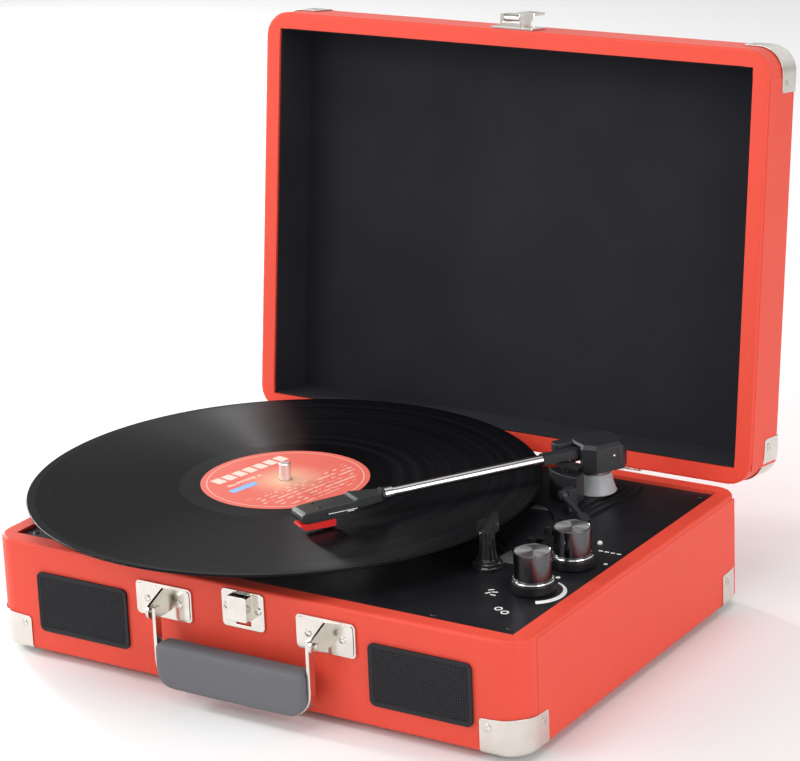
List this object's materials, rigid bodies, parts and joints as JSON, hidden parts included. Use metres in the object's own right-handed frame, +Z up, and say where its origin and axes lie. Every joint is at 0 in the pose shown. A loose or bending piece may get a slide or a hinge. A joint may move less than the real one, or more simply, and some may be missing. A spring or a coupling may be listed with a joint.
{
  "type": "suitcase record player",
  "caption": "Portable belt-drive record player in a hinged leatherette case, shown open with a record on the platter and the tonearm lowered onto it.",
  "frame": {"origin": "centre of the flat bottom cover on the case's underside", "axes": "+X to the right along the case's front, +Y to the back, +Z up"},
  "size_m": [0.3777, 0.3716, 0.331],
  "materials": {
    "red_leatherette": "satin",
    "black_panel": "satin",
    "black_lining": "matte",
    "black_rubber": "matte",
    "nickel": "polished",
    "steel": "brushed",
    "aluminium": "polished",
    "grille_black": "matte",
    "cone_paper": "matte",
    "vinyl": "gloss",
    "felt": "matte",
    "brass": "satin",
    "board_green": "satin",
    "grey_hub": "satin",
    "arm_black": "satin",
    "stylus_red": "satin",
    "smoke": "gloss",
    "knob_chrome": "polished",
    "grip_grey": "matte",
    "led_white": "gloss"
  },
  "bodies": {
    "base": {"base_shell": "red_leatherette", "bottom_cover": "black_panel", "foot_front_left": "black_rubber", "foot_front_right": "black_rubber", "foot_back_left": "black_rubber", "foot_back_right": "black_rubber", "base_corner_front_left": "nickel", "base_corner_front_right": "nickel", "base_corner_back_left": "nickel", "base_corner_back_right": "nickel", "speaker_grille_left": "grille_black", "speaker_grille_right": "grille_black", "speaker_driver_left": "cone_paper", "speaker_driver_right": "cone_paper", "deck_plate": "black_panel", "power_led": "led_white", "circuit_board": "board_green", "jack_panel": "black_panel", "bearing_bush": "brass", "drive_motor": "steel", "drive_belt": "black_rubber", "pivot_collar": "grey_hub", "lift_block": "arm_black", "cue_bracket": "arm_black", "arm_rest": "smoke", "handle_plate_left": "nickel", "handle_plate_right": "nickel", "latch_catch": "nickel", "hinge_base_left": "nickel", "hinge_base_right": "nickel"},
    "lid": {"lid_shell": "red_leatherette", "lid_lining": "black_lining", "lid_corner_front_left": "nickel", "lid_corner_front_right": "nickel", "lid_corner_back_left": "nickel", "lid_corner_back_right": "nickel", "hinge_lid_left": "nickel", "hinge_lid_right": "nickel", "lid_latch_plate": "nickel"},
    "hasp": {"latch_hasp": "nickel"},
    "handle": {"handle_bail": "nickel", "handle_grip": "grip_grey"},
    "platter": {"platter": "aluminium", "slipmat": "felt", "record": "vinyl", "spindle": "steel"},
    "motor_rotor": {"motor_pulley": "brass"},
    "arm_carriage": {"pivot_yoke": "steel", "pivot_housing": "arm_black"},
    "tonearm": {"arm_block": "arm_black", "arm_tube": "aluminium", "headshell": "arm_black", "cartridge": "arm_black", "stylus": "stylus_red"},
    "cue_lever": {"cue_lever": "arm_black"},
    "lift_platform": {"lift_platform": "arm_black"},
    "volume_knob": {"volume_knob": "knob_chrome"},
    "function_knob": {"function_knob": "knob_chrome"},
    "speed_slider": {"speed_slider": "black_panel"},
    "auto_stop_slider": {"auto_stop_slider": "black_panel"}
  },
  "joints": [
    {"name": "lid_hinge", "type": "hinge", "parent": "base", "child": "lid", "pos_m": [0, 0.133, 0.0589], "axis": [1, 0, 0], "range_deg": [0, 34]},
    {"name": "hasp_pivot", "type": "hinge", "parent": "lid", "child": "hasp", "pos_m": [0.002, 0.17687, 0.32458], "axis": [1, 0, 0], "range_deg": [0, 170]},
    {"name": "handle_swing", "type": "hinge", "parent": "base", "child": "handle", "pos_m": [0.002, -0.1415, 0.046], "axis": [-1, 0, 0], "range_deg": [-8, 120]},
    {"name": "platter_spin", "type": "hinge", "parent": "base", "child": "platter", "pos_m": [-0.05, -0.012, 0.0782], "axis": [0, 0, -1], "continuous": true},
    {"name": "motor_spin", "type": "hinge", "parent": "base", "child": "motor_rotor", "pos_m": [-0.10374, 0.04174, 0.07], "axis": [0, 0, -1], "continuous": true},
    {"name": "tonearm_swing", "type": "hinge", "parent": "base", "child": "arm_carriage", "pos_m": [0.103, 0.0855, 0.093], "axis": [0, 0, 1], "range_deg": [-10, 30]},
    {"name": "tonearm_lift", "type": "hinge", "parent": "arm_carriage", "child": "tonearm", "pos_m": [0.103, 0.0855, 0.093], "axis": [-0.8643, 0.503, 0], "range_deg": [0, 5]},
    {"name": "cue_lever_turn", "type": "hinge", "parent": "base", "child": "cue_lever", "pos_m": [0.1065, 0.049, 0.0775], "axis": [-0.5, -0.866, 0], "range_deg": [0, 50.1]},
    {"name": "lift_platform_rise", "type": "slide", "parent": "base", "child": "lift_platform", "axis": [0, 0, 1], "range_m": [0, 0.00181]},
    {"name": "volume_turn", "type": "hinge", "parent": "base", "child": "volume_knob", "pos_m": [0.1422, -0.0566, 0.0635], "axis": [0, 0, -1], "range_deg": [0, 280]},
    {"name": "function_turn", "type": "hinge", "parent": "base", "child": "function_knob", "pos_m": [0.1436, -0.0153, 0.0635], "axis": [0, 0, -1], "range_deg": [0, 90]},
    {"name": "speed_slide", "type": "slide", "parent": "base", "child": "speed_slider", "axis": [0, 1, 0], "range_m": [0, 0.009]},
    {"name": "auto_stop_slide", "type": "slide", "parent": "base", "child": "auto_stop_slider", "axis": [0, 1, 0], "range_m": [0, 0.005]}
  ],
  "couplings": [
    {"joint": "motor_spin", "follows": "platter_spin", "ratio": 10},
    {"joint": "cue_lever_turn", "follows": "tonearm_lift", "ratio": 10},
    {"joint": "lift_platform_rise", "follows": "tonearm_lift", "m_per_rad": 0.020626}
  ]
}
